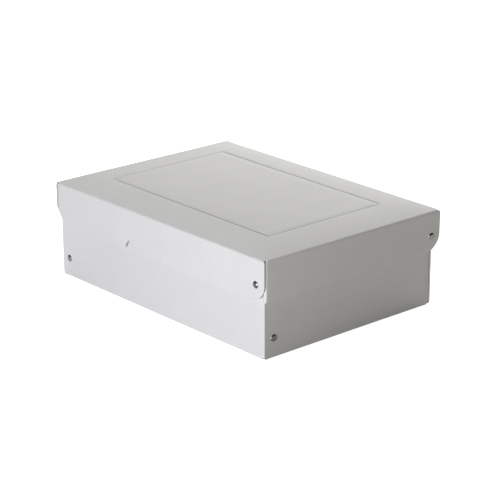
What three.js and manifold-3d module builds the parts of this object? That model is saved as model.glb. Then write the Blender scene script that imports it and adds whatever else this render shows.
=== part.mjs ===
// Archival document box: a shallow base and a lift-off lid, each folded from one sheet of grey board,
// with every corner closed by rivets. Millimetres, +Z up. X runs along the short side and Y along the
// long side. The origin is the middle of the base's underside.
//
// A tray's four walls turn round the corners like a pinwheel. Seen from outside with the panel on top,
// each wall's right end is a free flap, and its left end turns the corner into a tab, which is riveted
// behind the flap of the wall it meets. The base is such a tray turned upside down.
import * as THREE from "three";
import { mergeVertices } from "three/addons/utils/BufferGeometryUtils.js";
import Module from "manifold-3d";

// Overall sizes
const baseWidth = 225; // outside of the base, X
const baseLength = 320; // outside of the base, Y
const boxHeight = 102; // table to the rim of the lid's top
const lidDepth = 42; // rim of the lid's top to the lid's lower edge

// Board and folds
const board = 1.5; // sheet thickness
const foldRadius = 2.2; // outside radius of a fold
const layerGap = 0.3; // between a corner tab and the flap in front of it
const cornerRelief = 0.8; // cut between one fold's end and the next wall's fold
const flapDrop = 1; // a flap's top edge below the panel's outer face
const tabLength = 26; // a corner tab, from the corner inwards
const tabTaper = 4; // a tab's upper and lower edges draw in by this towards its end

// Fit of the lid on the base
const slideClearance = 1.5; // from the lid's corner tabs to the base walls
const restGap = 0.3; // from the base's top edge to the underside of the lid's rim

// Lid details
const lidFlapRadius = 18; // rounded lower corner of a lid flap
const lidTabRise = 8; // lower edge of a lid's tab above the lid's lower edge
const rimWidth = 9; // flat rim round the lid's top
const crownHeight = 4.2; // the panel inside the frame above the rim
const frameInset = 42.5; // outside of the lid to the middle of the pressed frame
const frameWidth = 1.8; // pressed frame, width of the groove
const frameDepth = 0.4; // pressed frame, depth of the groove
const notchRadius = 9.5; // thumb notch in the lower edge of each long lid wall
const notchOffset = 37; // thumb notch, from the middle of the wall

// Base details
const baseFlapRadius = 2; // corner of a base flap at the open edge
const baseTabRise = 1; // edge of a base tab below the open edge

// Rivets
const headRadius = 3.7; // domed head
const headHeight = 1.2;
const capRadius = 3.2; // domed cap on the inside
const capHeight = 0.9;
const stemRadius = 1.5;
const holeRadius = 1.8; // punched hole
const capBoreRadius = 1.7;
const capBoreDepth = 0.6;
const seatGap = 0.1; // under a head or a cap
const lidRivetFromEnd = 12; // from the free end of a lid flap
const lidRivetFromEdge = 16; // above the lid's lower edge
const baseRivetFromEnd = 11.5; // from the free end of a base flap
const baseRivetFromPanel = 20.5; // lower rivet, above the table
const baseRivetFromEdge = 20.5; // upper rivet, below the base's open edge

// Fineness of the round surfaces
const foldSteps = 5;
const cornerSteps = 12;
const holeSteps = 20;
const rivetSteps = 20;
const crownSteps = 4;
const domeSteps = 5;

// Sizes that follow
const lidOverhang = slideClearance + board + layerGap + board; // lid's outer face beyond the base's
const lidWidth = baseWidth + 2 * lidOverhang;
const lidLength = baseLength + 2 * lidOverhang;
const baseDepth = boxHeight - board - restGap;
const seam = 0.5; // overlap of pieces of one sheet where they are joined

// Colours
const boardGrey = { color: "#c9c8c6", roughness: 0.85, metalness: 0 };
const nickel = { color: "#b8babd", roughness: 0.3, metalness: 1 };

const wasm = await Module();
wasm.setup();

// Closed geometry to a solid that can be cut and joined, and back. Corners are rounded to a fine grid,
// so that faces of one sheet that should lie in one plane really do.
const grid = 0.001;

function solidOf(geometry, matrix = new THREE.Matrix4()) {
  const bare = geometry.clone().applyMatrix4(matrix);
  bare.deleteAttribute("normal");
  bare.deleteAttribute("uv");
  const places = bare.attributes.position.array;
  places.forEach((value, i) => {
    places[i] = Math.round(value / grid) * grid;
  });
  const merged = mergeVertices(bare, 1e-4);
  const vertProperties = new Float32Array(merged.attributes.position.array);
  const triVerts = new Uint32Array(merged.index.array);
  return new wasm.Manifold(new wasm.Mesh({ numProp: 3, vertProperties, triVerts }));
}

function geometryOf(solid) {
  const mesh = solid.getMesh();
  const geometry = new THREE.BufferGeometry();
  geometry.setAttribute("position", new THREE.BufferAttribute(new Float32Array(mesh.vertProperties), 3));
  geometry.setIndex(new THREE.BufferAttribute(new Uint32Array(mesh.triVerts), 1));
  const faceted = geometry.toNonIndexed();
  faceted.computeVertexNormals();
  return faceted;
}

// An outline pushed out by a depth along z.
function extruded(shape, depth, curveSegments) {
  return new THREE.ExtrudeGeometry(shape, { depth, curveSegments, bevelEnabled: false });
}

// A rounded L: two legs of one sheet joined by a fold. The fold's centre is the origin, one leg runs
// along -y on the far left and the other along +x on top, each as long as given.
function foldShape(downLeg, acrossLeg) {
  const inner = foldRadius - board;
  const shape = new THREE.Shape();
  shape.moveTo(-foldRadius, -downLeg);
  shape.lineTo(-foldRadius, 0);
  shape.absarc(0, 0, foldRadius, Math.PI, Math.PI / 2, true);
  shape.lineTo(acrossLeg, foldRadius);
  shape.lineTo(acrossLeg, inner);
  shape.lineTo(0, inner);
  shape.absarc(0, 0, inner, Math.PI / 2, Math.PI, false);
  shape.lineTo(-inner, -downLeg);
  shape.closePath();
  return shape;
}

// The four sides of a tray, with the way each one faces and the way its right end lies, seen from outside.
const sides = [
  { name: "front", outward: [0, -1], along: [1, 0], long: false },
  { name: "right", outward: [1, 0], along: [0, 1], long: true },
  { name: "back", outward: [0, 1], along: [-1, 0], long: false },
  { name: "left", outward: [-1, 0], along: [0, -1], long: true },
];

// A side's own frame: u along the wall from its middle, v inwards from its outer face, z up from the
// panel's outer face. reach is the way from the tray's middle to the outer face.
function sideFrame(side, width, length) {
  const reach = side.long ? width / 2 : length / 2;
  const halfRun = side.long ? length / 2 : width / 2;
  const along = new THREE.Vector3(...side.along, 0);
  const outward = new THREE.Vector3(...side.outward, 0);
  const up = new THREE.Vector3(0, 0, 1);
  const point = (u, v, z) =>
    new THREE.Vector3()
      .addScaledVector(along, u)
      .addScaledVector(outward, reach - v)
      .addScaledVector(up, z);
  return { ...side, halfRun, along, outward, up, point };
}

function placement(x, y, z, origin) {
  return new THREE.Matrix4().makeBasis(x, y, z).setPosition(origin);
}

// Where a wall's left end starts to turn the corner, and the outer face of the tab past it.
function leftTurn(frame) {
  const tabFace = -(frame.halfRun - board - layerGap);
  return { tabFace, start: tabFace + foldRadius };
}

// The fold between the panel and one wall.
function panelFold(frame) {
  const from = leftTurn(frame).start;
  const to = frame.halfRun - foldRadius - cornerRelief;
  const inward = frame.outward.clone().negate();
  const at = placement(inward, frame.up, frame.along, frame.point(from, foldRadius, -foldRadius));
  return solidOf(extruded(foldShape(seam, seam), to - from, foldSteps), at);
}

// How far above the open edge a wall's corner fold begins: a rounded corner is cut through the fold too.
function foldRise(frame, tray) {
  const radius = frame.long ? tray.foldedCornerRadius : 0;
  return radius - Math.sqrt(radius ** 2 - Math.max(0, radius - foldRadius) ** 2);
}

// The flat wall with its free flap at the right end. A long lid wall's left end is rounded like the
// flap that covers it.
function wallPlate(frame, tray) {
  const left = leftTurn(frame).start;
  const right = frame.halfRun;
  const foldEnd = right - foldRadius - cornerRelief;
  const edge = -tray.depth;
  const topRadius = right - foldEnd;
  const shape = new THREE.Shape();
  shape.moveTo(left, -foldRadius);
  shape.lineTo(left, edge + foldRise(frame, tray));
  if (frame.long && tray.foldedCornerRadius) {
    const radius = tray.foldedCornerRadius;
    const first = Math.PI + Math.acos(1 - foldRadius / radius);
    shape.absarc(left - foldRadius + radius, edge + radius, radius, first, 1.5 * Math.PI, false);
  }
  if (frame.long && tray.notch) {
    shape.lineTo(tray.notch.at - tray.notch.radius, edge);
    shape.absarc(tray.notch.at, edge, tray.notch.radius, Math.PI, 0, true);
  }
  shape.lineTo(right - tray.flapRadius, edge);
  shape.absarc(right - tray.flapRadius, edge + tray.flapRadius, tray.flapRadius, -Math.PI / 2, 0, false);
  shape.lineTo(right, -flapDrop - topRadius);
  shape.absarc(foldEnd, -flapDrop - topRadius, topRadius, 0, Math.PI / 2, false);
  shape.lineTo(foldEnd, -foldRadius);
  shape.closePath();
  const at = placement(frame.along, frame.up, frame.outward, frame.point(0, board, 0));
  return solidOf(extruded(shape, board, cornerSteps), at);
}

// The upright fold at a wall's left end. Its top closes the corner as far as the panel lets it.
function cornerFold(frame, tray) {
  const { start } = leftTurn(frame);
  const low = -tray.depth + foldRise(frame, tray);
  const high = -board - layerGap;
  const origin = frame.point(start, foldRadius, low);
  // Laid down, the fold's "down" leg is the tab and its "across" leg is the wall.
  const flipped = placement(frame.along, frame.outward, frame.up.clone().negate(), origin);
  const legs = extruded(foldShape(seam, seam), -foldRadius - low, foldSteps).translate(0, 0, foldRadius + low);
  const bare = extruded(foldShape(0, 0), high - low, foldSteps).translate(0, 0, low - high);
  return solidOf(legs, flipped).add(solidOf(bare, flipped));
}

// The tab that lies behind the next wall's flap.
function cornerTab(frame, tray) {
  const { tabFace } = leftTurn(frame);
  const top = -foldRadius - layerGap;
  const low = -tray.depth + Math.max(tray.tabRise, foldRise(frame, tray));
  const shape = new THREE.Shape();
  shape.moveTo(foldRadius, low);
  shape.lineTo(tabLength, low + tabTaper);
  shape.lineTo(tabLength, top - tabTaper);
  shape.lineTo(foldRadius, top);
  shape.closePath();
  const inward = frame.outward.clone().negate();
  const at = placement(inward, frame.up, frame.along, frame.point(tabFace, 0, 0));
  return solidOf(extruded(shape, board, cornerSteps), at);
}

// A closed skin over stacked rectangles, each given by its inset from the panel's outside and its height.
function stackedSkin(rings, width, length) {
  const corners = [[-1, -1], [1, -1], [1, 1], [-1, 1]];
  const positions = rings.flatMap(([inset, z]) =>
    corners.flatMap(([sx, sy]) => [sx * (width / 2 - inset), sy * (length / 2 - inset), z]),
  );
  const index = [];
  for (let ring = 0; ring + 1 < rings.length; ring++) {
    for (let side = 0; side < 4; side++) {
      const [a, b] = [4 * ring + side, 4 * ring + ((side + 1) % 4)];
      index.push(a, b, b + 4, a, b + 4, a + 4);
    }
  }
  const last = 4 * (rings.length - 1);
  index.push(last, last + 1, last + 2, last, last + 2, last + 3, 2, 1, 0, 3, 2, 0);
  const geometry = new THREE.BufferGeometry();
  geometry.setAttribute("position", new THREE.BufferAttribute(new Float32Array(positions), 3));
  geometry.setIndex(index);
  return geometry;
}

// The lid's crown rises from the rim in a parabola that lies flat where it meets the pressed frame.
function crownRings(tray, from, drop) {
  const groove = frameWidth / 2;
  const rise = frameInset - groove - rimWidth;
  const rings = [];
  for (let step = 0; step <= crownSteps; step++) {
    const part = step / crownSteps;
    rings.push([rimWidth + part * rise, tray.crown * (1 - (1 - part) ** 2) - drop]);
  }
  return [[from, -drop], ...rings];
}

function panel(tray) {
  if (!tray.crown) {
    const slab = [[foldRadius, -board], [foldRadius, 0]];
    return solidOf(stackedSkin(slab, tray.width, tray.length));
  }
  const under = crownRings(tray, foldRadius, board).reverse();
  const over = crownRings(tray, foldRadius, 0);
  const groove = [[frameInset, tray.crown - frameDepth], [frameInset + frameWidth / 2, tray.crown]];
  return solidOf(stackedSkin([...under, ...over, ...groove], tray.width, tray.length));
}

// Rivet places on one wall's flap, in that wall's own frame.
function rivetPlaces(frame, tray) {
  return tray.rivetHeights.map((z) => ({ u: frame.halfRun - tray.rivetFromEnd, z }));
}

function rivetHole(frame, place) {
  const reach = 4 * board + layerGap;
  const hole = new THREE.CylinderGeometry(holeRadius, holeRadius, 2 * reach, holeSteps);
  const across = new THREE.Vector3().crossVectors(frame.along, frame.outward);
  return solidOf(hole, placement(frame.along, frame.outward, across, frame.point(place.u, board, place.z)));
}

// One tray folded from one sheet, with its panel on top and its walls hanging down.
function foldedTray(tray) {
  let sheet = panel(tray);
  const frames = sides.map((side) => sideFrame(side, tray.width, tray.length));
  for (const frame of frames) {
    for (const piece of [panelFold, wallPlate, cornerFold, cornerTab]) {
      sheet = sheet.add(piece(frame, tray));
    }
  }
  for (const frame of frames) {
    for (const place of rivetPlaces(frame, tray)) {
      sheet = sheet.subtract(rivetHole(frame, place));
    }
  }
  return { frames, geometry: geometryOf(sheet.asOriginal().simplify(grid)) };
}

// Turned profile about the y axis. The outside of the box is towards +y, and y = 0 is the flap's face.
const stackDepth = 2 * board + layerGap; // through the flap and the tab

function domedArc(radius, height, base, way) {
  const points = [];
  for (let step = 0; step <= domeSteps; step++) {
    const angle = (step / domeSteps) * (Math.PI / 2);
    points.push(new THREE.Vector2(radius * Math.cos(angle), base + way * height * Math.sin(angle)));
  }
  return points;
}

// The outer half of a rivet: a domed head on a stem that ends inside the cap.
function rivetPostGeometry() {
  const stemEnd = -stackDepth - capBoreDepth; // a seat gap short of the bore's end
  const profile = [
    new THREE.Vector2(0, stemEnd),
    new THREE.Vector2(stemRadius, stemEnd),
    new THREE.Vector2(stemRadius, seatGap),
    ...domedArc(headRadius, headHeight, seatGap, 1),
  ];
  return new THREE.LatheGeometry(profile, rivetSteps);
}

// The inner half: a domed cap with a blind bore for the stem.
function rivetCapGeometry() {
  const seat = -stackDepth - seatGap;
  const dome = domedArc(capRadius, capHeight, seat, -1).reverse();
  const profile = [
    ...dome,
    new THREE.Vector2(capBoreRadius, seat),
    new THREE.Vector2(capBoreRadius, seat - capBoreDepth),
    new THREE.Vector2(0, seat - capBoreDepth),
  ];
  return new THREE.LatheGeometry(profile, rivetSteps);
}

function named(name, geometry, material) {
  const mesh = new THREE.Mesh(geometry, new THREE.MeshStandardMaterial(material));
  mesh.name = name;
  return mesh;
}

// A tray with its rivets, all with the panel on top.
function rivetedTray(tray) {
  const group = new THREE.Group();
  const { frames, geometry } = foldedTray(tray);
  group.add(named(`${tray.name}_tray`, geometry, boardGrey));
  for (const frame of frames) {
    rivetPlaces(frame, tray).forEach((place, row) => {
      const rivet = new THREE.Group();
      const across = new THREE.Vector3().crossVectors(frame.along, frame.outward);
      const turn = new THREE.Matrix4().makeBasis(frame.along, frame.outward, across);
      rivet.quaternion.setFromRotationMatrix(turn);
      rivet.position.copy(frame.point(place.u, 0, place.z));
      const label = `${tray.name}_${frame.name}_rivet${tray.rowNames[row]}`;
      rivet.add(named(`${label}_post`, rivetPostGeometry(), nickel));
      rivet.add(named(`${label}_cap`, rivetCapGeometry(), nickel));
      group.add(rivet);
    });
  }
  return group;
}

const lid = rivetedTray({
  name: "lid",
  width: lidWidth,
  length: lidLength,
  depth: lidDepth,
  crown: crownHeight,
  flapRadius: lidFlapRadius,
  foldedCornerRadius: lidFlapRadius,
  tabRise: lidTabRise,
  notch: { at: -notchOffset, radius: notchRadius },
  rivetFromEnd: lidRivetFromEnd,
  rivetHeights: [lidRivetFromEdge - lidDepth],
  rowNames: [""],
});
lid.position.z = boxHeight;

const base = rivetedTray({
  name: "base",
  width: baseWidth,
  length: baseLength,
  depth: baseDepth,
  crown: 0,
  flapRadius: baseFlapRadius,
  foldedCornerRadius: 0,
  tabRise: baseTabRise,
  notch: null,
  rivetFromEnd: baseRivetFromEnd,
  rivetHeights: [-baseRivetFromPanel, baseRivetFromEdge - baseDepth],
  rowNames: ["_lower", "_upper"],
});
base.rotation.x = Math.PI;

const box = new THREE.Group();
box.add(base, lid);
export default box;
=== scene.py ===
import math

import bmesh
import bpy
from mathutils import Matrix, Vector


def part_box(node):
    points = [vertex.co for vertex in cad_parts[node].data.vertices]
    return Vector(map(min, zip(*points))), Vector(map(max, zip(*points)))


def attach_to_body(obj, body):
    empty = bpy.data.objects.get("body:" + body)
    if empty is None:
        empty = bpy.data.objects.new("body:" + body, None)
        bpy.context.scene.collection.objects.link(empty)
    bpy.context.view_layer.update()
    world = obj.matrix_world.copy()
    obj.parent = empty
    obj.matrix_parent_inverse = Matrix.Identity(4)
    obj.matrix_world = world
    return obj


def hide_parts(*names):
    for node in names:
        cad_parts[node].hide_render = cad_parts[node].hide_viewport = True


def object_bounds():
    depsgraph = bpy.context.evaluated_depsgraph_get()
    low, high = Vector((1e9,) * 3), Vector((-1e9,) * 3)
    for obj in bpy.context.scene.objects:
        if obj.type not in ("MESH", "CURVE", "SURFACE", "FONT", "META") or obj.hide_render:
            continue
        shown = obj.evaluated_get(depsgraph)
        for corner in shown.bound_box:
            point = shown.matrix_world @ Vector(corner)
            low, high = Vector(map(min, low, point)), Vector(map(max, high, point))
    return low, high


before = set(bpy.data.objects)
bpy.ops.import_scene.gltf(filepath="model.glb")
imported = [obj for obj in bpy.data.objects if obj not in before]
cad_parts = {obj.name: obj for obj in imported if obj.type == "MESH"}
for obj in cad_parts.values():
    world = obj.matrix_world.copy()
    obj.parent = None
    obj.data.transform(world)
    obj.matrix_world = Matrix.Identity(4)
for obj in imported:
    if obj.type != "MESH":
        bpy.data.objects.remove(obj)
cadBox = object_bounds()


# One socket of a node tree, with arithmetic that adds Math nodes.
class Wire:
    def __init__(self, graph, socket):
        self.graph = graph
        self.socket = socket

    def math(self, operation, *others):
        return self.graph.math(operation, self, *others)

    def __add__(self, other):
        return self.graph.math("ADD", self, other)

    def __radd__(self, other):
        return self.graph.math("ADD", other, self)

    def __sub__(self, other):
        return self.graph.math("SUBTRACT", self, other)

    def __rsub__(self, other):
        return self.graph.math("SUBTRACT", other, self)

    def __mul__(self, other):
        return self.graph.math("MULTIPLY", self, other)

    def __rmul__(self, other):
        return self.graph.math("MULTIPLY", other, self)

    def __truediv__(self, other):
        return self.graph.math("DIVIDE", self, other)

    def __rtruediv__(self, other):
        return self.graph.math("DIVIDE", other, self)

    def __pow__(self, other):
        return self.graph.math("POWER", self, other)

    def __abs__(self):
        return self.graph.math("ABSOLUTE", self)

    def held(self, low=0.0, high=1.0):  # clamped between two values
        return self.graph.math("MINIMUM", self.graph.math("MAXIMUM", self, low), high)

    def out(self, name):  # another output of the same node
        return Wire(self.graph, self.socket.node.outputs[name])


class Graph:
    def __init__(self, tree):
        self.tree = tree
        tree.nodes.clear()

    def node(self, kind, settings=None, sockets=None, output=0):
        made = self.tree.nodes.new(kind)
        for name, value in (settings or {}).items():
            if name == "stops":
                ramp = made.color_ramp
                while len(ramp.elements) < len(value):
                    ramp.elements.new(0.5)
                for stop, (place, shade) in zip(ramp.elements, value):
                    stop.position = place
                    stop.color = shade
            else:
                setattr(made, name, value)
        for key, value in (sockets or {}).items():
            if isinstance(value, Wire):
                self.tree.links.new(value.socket, made.inputs[key])
            else:
                made.inputs[key].default_value = value
        return Wire(self, made.outputs[output]) if made.outputs else made

    def math(self, operation, *values):
        return self.node("ShaderNodeMath", {"operation": operation}, dict(enumerate(values)))

    def blend(self, amount, first, second, way="MIX"):  # mixes two colours
        settings = {"data_type": "RGBA", "blend_type": way}
        return self.node("ShaderNodeMix", settings, {0: amount, 6: first, 7: second}, 2)

    def noise(self, place, size, detail=2.0, roughness=0.5, distortion=0.0):  # size is a blotch's width
        sockets = {
            "Vector": place,
            "Scale": 1 / size,
            "Detail": detail,
            "Roughness": roughness,
            "Distortion": distortion,
        }
        return self.node("ShaderNodeTexNoise", None, sockets)


boardFinish = {
    "colour": (0.585, 0.580, 0.566),
    "rawEdge": (0.64, 0.63, 0.605),
    "clouding": 0.035,  # slow tone changes of the sheet
    "fibreTone": 0.07,  # light and dark of single fibres
    "fibreSize": 0.0011,
    "foldWear": 0.10,  # paler along the folds
    "roughness": 0.78,
    "toothDepth": 0.00006,  # the surface's own grain
    "rawToothFactor": 2.2,  # deeper grain on a cut edge
    "toothSize": 0.00045,
    "cloudSize": 0.055,
    "fleckColour": (0.86, 0.85, 0.83),
    "fleckAmount": 0.05,
    "specular": 0.35,
}


def shade(colour, factor=1.0):
    return tuple(part * factor for part in colour) + (1.0,)


def boardMaterial(name, finish, raw=False):
    material = bpy.data.materials.new(name)
    material.use_nodes = True
    g = Graph(material.node_tree)
    place = g.node("ShaderNodeTexCoord", None, None, "Object")
    colour = finish["rawEdge"] if raw else finish["colour"]
    # fibres lie mostly along the sheet's length
    laid = g.node("ShaderNodeMapping", None, {"Vector": place, "Scale": (1.0, 0.35, 1.0)})
    fibre = g.noise(laid, finish["fibreSize"], 4.0, 0.65, 0.6)
    fleck = g.noise(place, finish["fibreSize"] * 3.2, 2.0, 0.5)
    cloud = g.noise(place, finish["cloudSize"], 3.0, 0.55)
    tone = 1 + (fibre - 0.5) * finish["fibreTone"] * 2 + (cloud - 0.5) * finish["clouding"] * 2
    pale = ((fleck - 0.62) * 9).held() * finish["fleckAmount"]  # scattered paler flecks
    wear = g.node("ShaderNodeAttribute", {"attribute_name": "foldWear"}, None, "Fac")
    worn = (wear * (0.55 + (fibre * 0.9)) * finish["foldWear"]).held()
    greys = g.node("ShaderNodeCombineColor", None, {0: tone, 1: tone, 2: tone})
    tinted = g.blend(1.0, shade(colour), greys, "MULTIPLY")
    flecked = g.blend((pale + worn).held(), tinted, shade(finish["fleckColour"]))
    rough = finish["roughness"] + (fibre - 0.5) * 0.12 - worn * 0.2
    tooth = g.noise(place, finish["toothSize"], 3.0, 0.6) * 0.5 + fibre * 0.5
    toothDepth = finish["toothDepth"] * (finish["rawToothFactor"] if raw else 1.0)
    bump = g.node("ShaderNodeBump", None, {"Strength": 0.5, "Distance": toothDepth, "Height": tooth})
    shader = g.node(
        "ShaderNodeBsdfPrincipled",
        None,
        {"Base Color": flecked, "Roughness": rough, "Normal": bump, "Specular IOR Level": finish["specular"]},
    )
    g.node("ShaderNodeOutputMaterial", None, {"Surface": shader})
    return material


rivetFinish = {
    "colour": (0.36, 0.355, 0.345),
    "roughness": 0.2,
    "tarnish": 0.45,
}


def rivetMaterial(name, finish):
    material = bpy.data.materials.new(name)
    material.use_nodes = True
    g = Graph(material.node_tree)
    place = g.node("ShaderNodeTexCoord", None, None, "Object")
    stain = ((g.noise(place, 0.0022, 3.0, 0.6) - 0.45) * 3).held()
    grain = g.noise(place, 0.00035, 2.0, 0.5)
    colour = g.blend(stain * finish["tarnish"], shade(finish["colour"]), shade(finish["colour"], 0.6))
    rough = finish["roughness"] + stain * 0.12 + (grain - 0.5) * 0.1
    bump = g.node("ShaderNodeBump", None, {"Strength": 0.25, "Distance": 0.00003, "Height": grain})
    shader = g.node(
        "ShaderNodeBsdfPrincipled",
        None,
        {"Base Color": colour, "Metallic": 1.0, "Roughness": rough, "Normal": bump},
    )
    g.node("ShaderNodeOutputMaterial", None, {"Surface": shader})
    return material


greyBoard = boardMaterial("greyBoard", boardFinish)
rawBoard = boardMaterial("rawBoard", boardFinish, raw=True)
nickel = rivetMaterial("nickelRivet", rivetFinish)
print("materials made")


sheet = {
    "board": 0.0015,  # thickness
    "foldRadius": 0.0022,
    "foldSteps": 6,
    "layerGap": 0.0003,  # between a corner tab and the flap in front of it
    "cornerRelief": 0.0008,
    "flapDrop": 0.0003,  # a flap's top edge below the panel
    "tabLength": 0.026,
    "edgeSoftness": 0.0002,  # rounding of the cut edges
    "crownStep": 0.0032,  # spacing of the mesh lines, from here down
    "panelStep": 0.009,
    "tabStep": 0.005,
    "flapEndStep": 0.0012,
    "cornerStep": 0.0006,
    "notchSteps": 16,
    "closest": 0.00012,
}

lidShape = {
    "crown": 0.0042,  # the panel's rise inside the pressed frame
    "frameInset": 0.0425,
    "grooveWidth": 0.0030,
    "grooveDepth": 0.00075,
    "flapRadius": 0.018,
    "foldedCornerRadius": 0.018,  # at the folded end of a long wall
    "tabRise": 0.008,
    "notchAt": -0.037,
    "notchRadius": 0.0095,
    "bowShort": 0.0010,  # a short wall's lower edge stands out in the middle
    "bowLong": 0.0006,
    "waviness": 0.00016,
    "turn": -0.34,  # degrees; the lid sits slightly askew, as far as the hidden rivet heads let it
}

baseShape = {
    "crown": 0.0,
    "frameInset": 0.041,
    "grooveWidth": 0.0026,
    "grooveDepth": 0.0,
    "flapRadius": 0.002,
    "foldedCornerRadius": 0.0,
    "tabRise": 0.001,
    "notchAt": 0.0,
    "notchRadius": 0.0,
    "bowShort": 0.0,
    "bowLong": 0.0,
    "waviness": 0.00014,
}

# name, the way the side faces, and the way its right end lies when seen from outside
sides = [
    ("front", Vector((0, -1, 0)), Vector((1, 0, 0))),
    ("right", Vector((1, 0, 0)), Vector((0, 1, 0))),
    ("back", Vector((0, 1, 0)), Vector((-1, 0, 0))),
    ("left", Vector((-1, 0, 0)), Vector((0, -1, 0))),
]
up = Vector((0, 0, 1))


def spread(first, last, most):  # evenly from first to last, at most so far apart
    count = max(1, math.ceil(abs(last - first) / most - 1e-6))
    return [first + (last - first) * step / count for step in range(count + 1)]


def panelLines(half, shape, notched):
    r = sheet["foldRadius"]
    insets = [r, r + sheet["cornerRelief"], r + sheet["board"] + sheet["layerGap"]]
    groove = shape["grooveWidth"] / 2
    if shape["crown"]:
        insets += spread(insets[-1], shape["frameInset"] - groove, sheet["crownStep"])
        insets += [shape["frameInset"] + groove * part for part in (-0.6, -0.2, 0.2, 0.6, 1.0)]
    insets += spread(insets[-1], half, sheet["panelStep"])
    lines = [half - inset for inset in insets]
    if notched:
        radius = shape["notchRadius"]
        for step in range(sheet["notchSteps"] + 1):
            turn = math.pi * step / sheet["notchSteps"]
            lines.append(abs(shape["notchAt"]) + radius * math.cos(turn))
    lines = sorted(set(round(side * line, 7) for line in lines for side in (-1, 1)))
    kept = lines[:1]
    for line in lines[1:]:
        if line - kept[-1] > sheet["closest"]:
            kept.append(line)
    return kept


def patch(bm, wearLayer, columns):
    # columns of (point, wear), all of one length, joined into quads
    made = []
    for column in columns:
        verts = []
        for point, wear in column:
            vert = bm.verts.new(point)
            vert[wearLayer] = wear
            verts.append(vert)
        made.append(verts)
    for a, b in zip(made, made[1:]):
        for i in range(len(a) - 1):
            bm.faces.new((a[i], a[i + 1], b[i + 1], b[i]))


def foldedSheet(name, width, length, depth, shape):
    r, relief = sheet["foldRadius"], sheet["cornerRelief"]
    bm = bmesh.new()
    wearLayer = bm.verts.layers.float.new("foldWear")
    xLines = panelLines(width / 2, shape, False)
    yLines = panelLines(length / 2, shape, shape["notchRadius"] > 0)
    patch(bm, wearLayer, [[(Vector((x, y, 0)), 0.0) for y in reversed(yLines)] for x in xLines])

    for side, outward, along in sides:
        isLong = side in ("left", "right")
        reach, half = (width / 2, length / 2) if isLong else (length / 2, width / 2)
        tabFace = -(half - sheet["board"] - sheet["layerGap"])
        start, foldEnd = tabFace + r, half - r - relief
        rounded = shape["foldedCornerRadius"] if isLong else 0.0
        rise = rounded - math.sqrt(rounded**2 - max(0.0, rounded - r) ** 2)
        notch = shape["notchRadius"] if isLong else 0.0
        flap = shape["flapRadius"]

        def spot(u, v, z):
            return along * u + outward * (reach - v) + up * z

        def low(u):
            edge = -depth
            if u > half - flap:
                edge += flap - math.sqrt(max(0.0, flap**2 - (u - half + flap) ** 2))
            elif rounded and u < tabFace + rounded:
                edge += rounded - math.sqrt(max(0.0, rounded**2 - (tabFace + rounded - u) ** 2))
            elif notch and abs(u - shape["notchAt"]) < notch:
                edge += math.sqrt(notch**2 - (u - shape["notchAt"]) ** 2)
            return edge

        inner = [u for u in (yLines if isLong else xLines) if start - 1e-7 <= u <= foldEnd + 1e-7]
        # the fold between the panel and the wall
        turns = [0.5 * math.pi * step / sheet["foldSteps"] for step in range(sheet["foldSteps"] + 1)]
        patch(
            bm,
            wearLayer,
            [
                [(spot(u, r - r * math.sin(t), r * math.cos(t) - r), math.sin(2 * t)) for t in turns]
                for u in inner
            ],
        )
        # the wall from its tab, round the corner and along to the flap
        columns = []  # u, v, top, bottom, wear
        tabLow = -depth + max(shape["tabRise"], rise)
        tabTop = -r - sheet["layerGap"]
        taper = (sheet["tabLength"] - r) / 6
        for v in spread(sheet["tabLength"], r + 0.0008, sheet["tabStep"]):
            lean = taper * (v - r) / (sheet["tabLength"] - r)
            columns.append((tabFace, v, tabTop - lean, tabLow + lean, 0.0))
        for t in reversed(turns):
            columns.append((start - r * math.sin(t), r - r * math.cos(t), -r, -depth + rise, math.sin(2 * t)))
        columns += [(u, 0.0, -r, low(u), 0.0) for u in inner[1:]]
        endRun = half - foldEnd
        crossing = foldEnd + math.sqrt(endRun**2 - (endRun + sheet["flapDrop"] - r) ** 2)

        def flapTop(u):
            return -sheet["flapDrop"] - endRun + math.sqrt(max(0.0, endRun**2 - (u - foldEnd) ** 2))

        ends = spread(foldEnd, crossing, sheet["flapEndStep"])[1:]
        ends += [half - (half - crossing) * part for part in (0.55, 0.2, 0.0)]
        if flap < endRun:
            ends = sorted(ends + [half - flap])
        columns += [(u, 0.0, min(-r, flapTop(u)), low(u), 0.0) for u in ends]
        parts = [0, 0.06, 0.16, 0.28, 0.4, 0.52, 0.64, 0.76, 0.87, 0.95, 1]
        patch(
            bm,
            wearLayer,
            [
                [(spot(u, v, top + (bottom - top) * part), wear) for part in parts]
                for u, v, top, bottom, wear in columns
            ],
        )
        # what stands above the fold line at the two ends
        cornerTop = -sheet["board"] - sheet["layerGap"]
        heights = spread(cornerTop, -r, sheet["cornerStep"])
        patch(
            bm,
            wearLayer,
            [
                [(spot(start - r * math.sin(t), r - r * math.cos(t), z), math.sin(2 * t)) for z in heights]
                for t in reversed(turns)
            ],
        )
        ears = [foldEnd] + [u for u in ends if u <= crossing + 1e-7]
        patch(
            bm,
            wearLayer,
            [
                [(spot(u, 0.0, flapTop(u) + (-r - flapTop(u)) * part), 0.0) for part in (0, 0.5, 1)]
                for u in ears
            ],
        )
    bmesh.ops.remove_doubles(bm, verts=bm.verts, dist=2e-6)
    bmesh.ops.dissolve_degenerate(bm, edges=bm.edges, dist=1e-6)
    bmesh.ops.recalc_face_normals(bm, faces=bm.faces)
    topFace = max(bm.faces, key=lambda face: face.calc_center_median().z)
    if topFace.normal.z < 0:
        bmesh.ops.reverse_faces(bm, faces=bm.faces)
    mesh = bpy.data.meshes.new(name)
    bm.to_mesh(mesh)
    bm.free()
    made = bpy.data.objects.new(name, mesh)
    bpy.context.scene.collection.objects.link(made)
    return made


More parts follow.
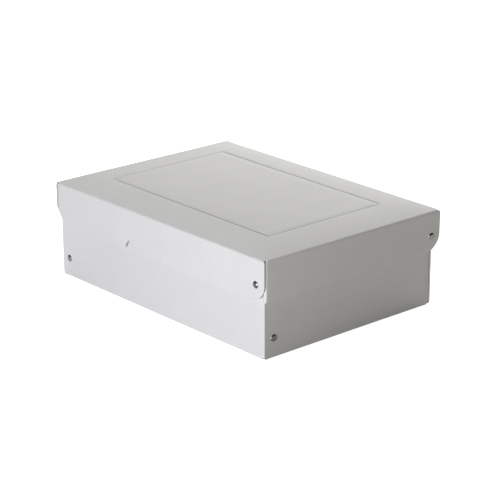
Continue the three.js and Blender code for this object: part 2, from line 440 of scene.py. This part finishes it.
def groupTree(name, inputs):
    tree = bpy.data.node_groups.new(name, "GeometryNodeTree")
    tree.interface.new_socket(name="Geometry", in_out="INPUT", socket_type="NodeSocketGeometry")
    keys = {}
    for label, value in inputs.items():
        kind = "NodeSocketInt" if isinstance(value, int) else "NodeSocketFloat"
        keys[label] = tree.interface.new_socket(name=label, in_out="INPUT", socket_type=kind).identifier
    tree.interface.new_socket(name="Geometry", in_out="OUTPUT", socket_type="NodeSocketGeometry")
    return tree, keys


def attach(target, tree, keys, values):
    modifier = target.modifiers.new(tree.name, "NODES")
    modifier.node_group = tree
    for label, value in values.items():
        modifier[keys[label]] = value
    return modifier


def plainMesh(source, name):
    bpy.context.view_layer.update()
    depsgraph = bpy.context.evaluated_depsgraph_get()
    evaluated = source.evaluated_get(depsgraph)
    mesh = bpy.data.meshes.new_from_object(evaluated, preserve_all_data_layers=True, depsgraph=depsgraph)
    mesh.name = name
    bpy.data.objects.remove(source)
    made = bpy.data.objects.new(name, mesh)
    bpy.context.scene.collection.objects.link(made)
    return made


# A node tree that forms a flat-topped tray: crown, pressed frame, bowed wall edges
# and the board's slight waviness.
def formingTree():
    inputs = {
        "Half width": 0.1,
        "Half length": 0.1,
        "Depth": 0.04,
        "Fold radius": 0.003,
        "Frame inset": 0.04,
        "Crown": 0.0,
        "Groove width": 0.002,
        "Groove depth": 0.0,
        "Bow short": 0.0,
        "Bow long": 0.0,
        "Waviness": 0.0,
        "Seed": 0.0,
    }
    tree, keys = groupTree("boardForming", inputs)
    g = Graph(tree)
    given = g.node("NodeGroupInput")
    halfWidth, halfLength, depth = (given.out(n) for n in ("Half width", "Half length", "Depth"))
    fold, inset = given.out("Fold radius"), given.out("Frame inset")
    place = g.node("GeometryNodeInputPosition")
    parts = g.node("ShaderNodeSeparateXYZ", None, {0: place})
    x, y, z = parts, parts.out("Y"), parts.out("Z")
    across, lengthways = halfWidth - abs(x), halfLength - abs(y)

    def risen(distance):  # parabola from the fold up to the frame
        left = 1 - ((distance - fold) / (inset - fold)).held()
        return 1 - left * left

    crown = given.out("Crown") * risen(across) * risen(lengthways)
    fromFrame = abs(across.math("MINIMUM", lengthways) - inset) / (given.out("Groove width") / 2)
    near = 1 - fromFrame.held()
    groove = given.out("Groove depth") * near * near * (3 - 2 * near)
    hung = ((0 - z - fold) / (depth - fold)).held() ** 1.3

    def bowed(run, half, amount):
        ratio = (abs(run) / (half - 0.016)).held()
        return amount * hung * (1 - ratio * ratio) ** 1.4

    onShort = lengthways.math("LESS_THAN", 0.0008)
    onLong = across.math("LESS_THAN", 0.0008)
    outY = y.math("SIGN") * onShort * bowed(x, halfWidth, given.out("Bow short"))
    outX = x.math("SIGN") * onLong * bowed(y, halfLength, given.out("Bow long"))
    ripple = g.node(
        "ShaderNodeTexNoise",
        {"noise_dimensions": "4D"},
        {"Vector": place, "W": given.out("Seed"), "Scale": 14.0, "Detail": 1.0},
    )
    swell = (ripple - 0.5) * 2 * given.out("Waviness")
    normal = g.node("ShaderNodeSeparateXYZ", None, {0: g.node("GeometryNodeInputNormal")})
    shift = g.node(
        "ShaderNodeCombineXYZ",
        None,
        {
            0: outX + swell * normal,
            1: outY + swell * normal.out("Y"),
            2: crown - groove + swell * normal.out("Z"),
        },
    )
    formed = g.node("GeometryNodeSetPosition", None, {"Geometry": given, "Offset": shift})
    single = g.node("GeometryNodeRealizeInstances", None, {0: formed})
    painted = g.node("GeometryNodeSetMaterial", None, {0: single, "Material": greyBoard})
    g.node("NodeGroupOutput", None, {0: painted})
    return tree, keys


forming = formingTree()


def seated(made):  # turns a piece of the lid about the lid's front left corner
    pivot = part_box("lid_tray")[0]
    turn = Matrix.Rotation(math.radians(lidShape["turn"]), 4, "Z")
    made.data.transform(Matrix.Translation(pivot) @ turn @ Matrix.Translation(-pivot))


def tray(name, node, shape, top, turned, seed):
    low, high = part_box(node)
    width, length = high.x - low.x, high.y - low.y
    depth = top - low.z if not turned else high.z - top
    rough = foldedSheet(name + "Sheet", width, length, depth, shape)
    rough.data.materials.append(greyBoard)
    rough.data.materials.append(rawBoard)
    values = {
        "Half width": width / 2,
        "Half length": length / 2,
        "Depth": depth,
        "Fold radius": sheet["foldRadius"],
        "Frame inset": shape["frameInset"],
        "Crown": shape["crown"],
        "Groove width": shape["grooveWidth"],
        "Groove depth": shape["grooveDepth"],
        "Bow short": shape["bowShort"],
        "Bow long": shape["bowLong"],
        "Waviness": shape["waviness"],
        "Seed": seed,
    }
    attach(rough, *forming, values)
    shell = rough.modifiers.new("board", "SOLIDIFY")
    shell.thickness = sheet["board"]
    shell.offset = -1
    shell.use_even_offset = True
    shell.material_offset_rim = 1
    soft = rough.modifiers.new("cutEdges", "BEVEL")
    soft.width = sheet["edgeSoftness"]
    soft.segments = 2
    soft.limit_method = "ANGLE"
    soft.angle_limit = math.radians(62)
    soft.use_clamp_overlap = False
    made = plainMesh(rough, name)
    if turned:
        made.data.transform(Matrix.Rotation(math.pi, 4, "X"))
    middle = (low + high) / 2
    made.data.transform(Matrix.Translation((middle.x, middle.y, top)))
    made.data.shade_smooth()
    made.data.set_sharp_from_angle(angle=math.radians(50))
    print(name, len(made.data.polygons), "faces")
    return made


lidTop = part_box("lid_tray")[1].z - lidShape["crown"]
lidBox = tray("lidBoard", "lid_tray", lidShape, lidTop, False, 3.7)
seated(lidBox)
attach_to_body(lidBox, "lid")
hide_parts("lid_tray")

baseBox = tray("baseBoard", "base_tray", baseShape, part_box("base_tray")[0].z, True, 8.2)
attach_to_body(baseBox, "base")
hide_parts("base_tray")


rivet = {
    "headRadius": 0.0037,
    "headHeight": 0.0012,
    "capRadius": 0.0032,
    "capHeight": 0.0009,
    "stemRadius": 0.0015,
    "seatGap": 0.0001,
    "segments": 28,
    "rings": 14,
}


# A node tree that sets a rivet, outer head, stem and inner cap, on every point along its own direction.
def rivetTree():
    inputs = {
        "Head radius": 0.003,
        "Head height": 0.001,
        "Cap radius": 0.003,
        "Cap height": 0.001,
        "Stem radius": 0.001,
        "Grip": 0.003,  # from head seat to cap seat
        "Segments": 24,
        "Rings": 12,
    }
    tree, keys = groupTree("rivetSetting", inputs)
    g = Graph(tree)
    given = g.node("NodeGroupInput")
    grip = given.out("Grip")

    def dome(radius, height, seat, way):
        sizes = {"Segments": given.out("Segments"), "Rings": given.out("Rings"), "Radius": 1.0}
        ball = g.node("GeometryNodeMeshUVSphere", None, sizes)
        at = g.node("ShaderNodeSeparateXYZ", None, {0: g.node("GeometryNodeInputPosition")})
        lifted = (at.out("Z") * way).math("MAXIMUM", 0.0) * height * way + seat
        spot = g.node("ShaderNodeCombineXYZ", None, {0: at * radius, 1: at.out("Y") * radius, 2: lifted})
        return g.node("GeometryNodeSetPosition", None, {"Geometry": ball, "Position": spot})

    head = dome(given.out("Head radius"), given.out("Head height"), 0.0, 1)
    cap = dome(given.out("Cap radius"), given.out("Cap height"), 0 - grip, -1)
    stem = g.node(
        "GeometryNodeMeshCylinder",
        None,
        {"Vertices": given.out("Segments"), "Radius": given.out("Stem radius"), "Depth": grip + 0.0004},
    )
    drop = g.node("ShaderNodeCombineXYZ", None, {2: 0 - grip / 2})
    sunk = g.node("GeometryNodeTransform", None, {"Geometry": stem, "Translation": drop})
    whole = g.tree.nodes.new("GeometryNodeJoinGeometry")
    for part in (head, sunk, cap):
        g.tree.links.new(part.socket, whole.inputs[0])
    facing = g.node("GeometryNodeInputNamedAttribute", {"data_type": "FLOAT_VECTOR"}, {"Name": "facing"})
    turn = g.node("FunctionNodeAlignRotationToVector", {"axis": "Z"}, {"Vector": facing})
    placed = g.node(
        "GeometryNodeInstanceOnPoints",
        None,
        {"Points": given, "Instance": Wire(g, whole.outputs[0]), "Rotation": turn},
    )
    single = g.node("GeometryNodeRealizeInstances", None, {0: placed})
    painted = g.node("GeometryNodeSetMaterial", None, {0: single, "Material": nickel})
    g.node("NodeGroupOutput", None, {0: painted})
    return tree, keys


setting = rivetTree()


def rivets(name, body):
    outward = {side: way for side, way, _ in sides}
    posts = sorted(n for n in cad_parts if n.startswith(body + "_") and n.endswith("_post"))
    caps = sorted(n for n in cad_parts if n.startswith(body + "_") and n.endswith("_cap"))
    points = bpy.data.meshes.new(name + "Points")
    places, ways = [], []
    for post in posts:
        low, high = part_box(post)
        way = outward[post.split("_")[1]]
        if body == "base":  # the base is the same tray turned over about X
            way = Vector((way.x, -way.y, 0))
        middle = (low + high) / 2
        halfDepth = abs((high - low).dot(way)) / 2
        places.append(middle + way * (halfDepth - rivet["headHeight"]))
        ways.append(way)
    points.from_pydata(places, [], [])
    facing = points.attributes.new("facing", "FLOAT_VECTOR", "POINT")
    facing.data.foreach_set("vector", [part for way in ways for part in way])
    holder = bpy.data.objects.new(name + "Points", points)
    bpy.context.scene.collection.objects.link(holder)
    grip = 2 * sheet["board"] + sheet["layerGap"] + 2 * rivet["seatGap"]
    values = {
        "Head radius": rivet["headRadius"],
        "Head height": rivet["headHeight"],
        "Cap radius": rivet["capRadius"],
        "Cap height": rivet["capHeight"],
        "Stem radius": rivet["stemRadius"],
        "Grip": grip,
        "Segments": rivet["segments"],
        "Rings": rivet["rings"],
    }
    attach(holder, *setting, values)
    made = plainMesh(holder, name)
    made.data.shade_smooth()
    made.data.set_sharp_from_angle(angle=math.radians(55))
    if body == "lid":
        seated(made)
    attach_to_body(made, body)
    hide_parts(*posts, *caps)
    print(name, len(posts), "rivets")
    return made


rivets("lidRivets", "lid")
rivets("baseRivets", "base")


studio = {
    "floorSize": 14.0,
    "floorTone": (0.80, 0.785, 0.765),
    "backdropGlow": 0.95,  # lifts the floor to white for the camera only
    "floorGlow": 0.02,  # the white floor's own light on the walls
    "surround": 0.01,  # what the object sees beyond the lights
}

# place, aim, width, height, power and colour of each softbox
softboxes = {
    "lowLeftLight": ((-1.4, -0.4, 0.15), (0, 0, 0.03), 0.8, 0.28, 17.4, (0.862, 0.885, 1.0)),
    "nearLight": ((-1.0, -0.75, 0.16), (0, 0, 0.03), 0.6, 0.25, 2.9, (1.0, 0.96, 0.74)),
    "backLight": ((1.03, 0.6, 0.98), (0, 0, 0.08), 1.0, 0.8, 24.6, (1.0, 0.995, 0.978)),
    "topLight": ((-0.2, 0.3, 2.2), (0, 0, 0.1), 1.8, 1.8, 13.0, (0.965, 0.97, 1.0)),
}


def floorMaterial():
    material = bpy.data.materials.new("paleFloor")
    material.use_nodes = True
    g = Graph(material.node_tree)
    place = g.node("ShaderNodeTexCoord", None, None, "Object")
    mottle = g.noise(place, 0.4, 2.0)
    colour = g.blend(mottle, shade(studio["floorTone"], 0.995), shade(studio["floorTone"]))
    seen = g.node("ShaderNodeLightPath", None, None, "Is Camera Ray")
    shader = g.node(
        "ShaderNodeBsdfPrincipled",
        None,
        {
            "Base Color": colour,
            "Roughness": 0.9,
            "Specular IOR Level": 0.1,
            "Emission Color": (1, 1, 1, 1),
            "Emission Strength": seen * studio["backdropGlow"] + studio["floorGlow"],
        },
    )
    g.node("ShaderNodeOutputMaterial", None, {"Surface": shader})
    return material


def plainFloor():
    half = studio["floorSize"] / 2
    mesh = bpy.data.meshes.new("floor")
    corners = [(-half, -half, 0), (half, -half, 0), (half, half, 0), (-half, half, 0)]
    mesh.from_pydata(corners, [], [(0, 1, 2, 3)])
    mesh.materials.append(floorMaterial())
    made = bpy.data.objects.new("floor", mesh)
    made.location.z = cadBox[0].z - 0.0002
    bpy.context.scene.collection.objects.link(made)
    return made


def softbox(name, place, aim, width, height, power, colour):
    data = bpy.data.lights.new(name, "AREA")
    data.shape = "RECTANGLE"
    data.size, data.size_y = width, height
    data.energy = power
    data.color = colour
    made = bpy.data.objects.new(name, data)
    made.location = place
    made.rotation_euler = (Vector(aim) - Vector(place)).to_track_quat("-Z", "Y").to_euler()
    bpy.context.scene.collection.objects.link(made)


plainFloor()
for name, values in softboxes.items():
    softbox(name, *values)

world = bpy.data.worlds.new("surround")
world.use_nodes = True
g = Graph(world.node_tree)
seen = g.node("ShaderNodeLightPath", None, None, "Is Camera Ray")
strength = seen * (1.0 - studio["surround"]) + studio["surround"]
sky = g.node("ShaderNodeBackground", None, {"Color": (1, 1, 1, 1), "Strength": strength})
g.node("ShaderNodeOutputWorld", None, {"Surface": sky})
bpy.context.scene.world = world
bpy.context.scene.view_settings.view_transform = "Standard"

viewpoint = {
    "azimuth": -41.274,
    "elevation": 19.51,
    "distance": 1.9518,
    "aim": (0.00472, -0.00606, -0.0103),  # from the middle of the object
    "lens": 136.2,
    "roll": -0.141,
}


def mainCamera():
    data = bpy.data.cameras.new("camera")
    data.lens = viewpoint["lens"]
    data.sensor_width = 36
    data.clip_start, data.clip_end = 0.05, 60
    a, e = math.radians(viewpoint["azimuth"]), math.radians(viewpoint["elevation"])
    back = Vector((math.sin(a) * math.cos(e), -math.cos(a) * math.cos(e), math.sin(e)))
    aim = (cadBox[0] + cadBox[1]) / 2 + Vector(viewpoint["aim"])
    made = bpy.data.objects.new("camera", data)
    made.rotation_mode = "QUATERNION"
    made.location = aim + back * viewpoint["distance"]
    roll = Matrix.Rotation(math.radians(viewpoint["roll"]), 3, "Z")
    made.rotation_quaternion = ((-back).to_track_quat("-Z", "Y").to_matrix() @ roll).to_quaternion()
    bpy.context.scene.collection.objects.link(made)
    bpy.context.scene.camera = made


mainCamera()
print("floor, light and camera set")
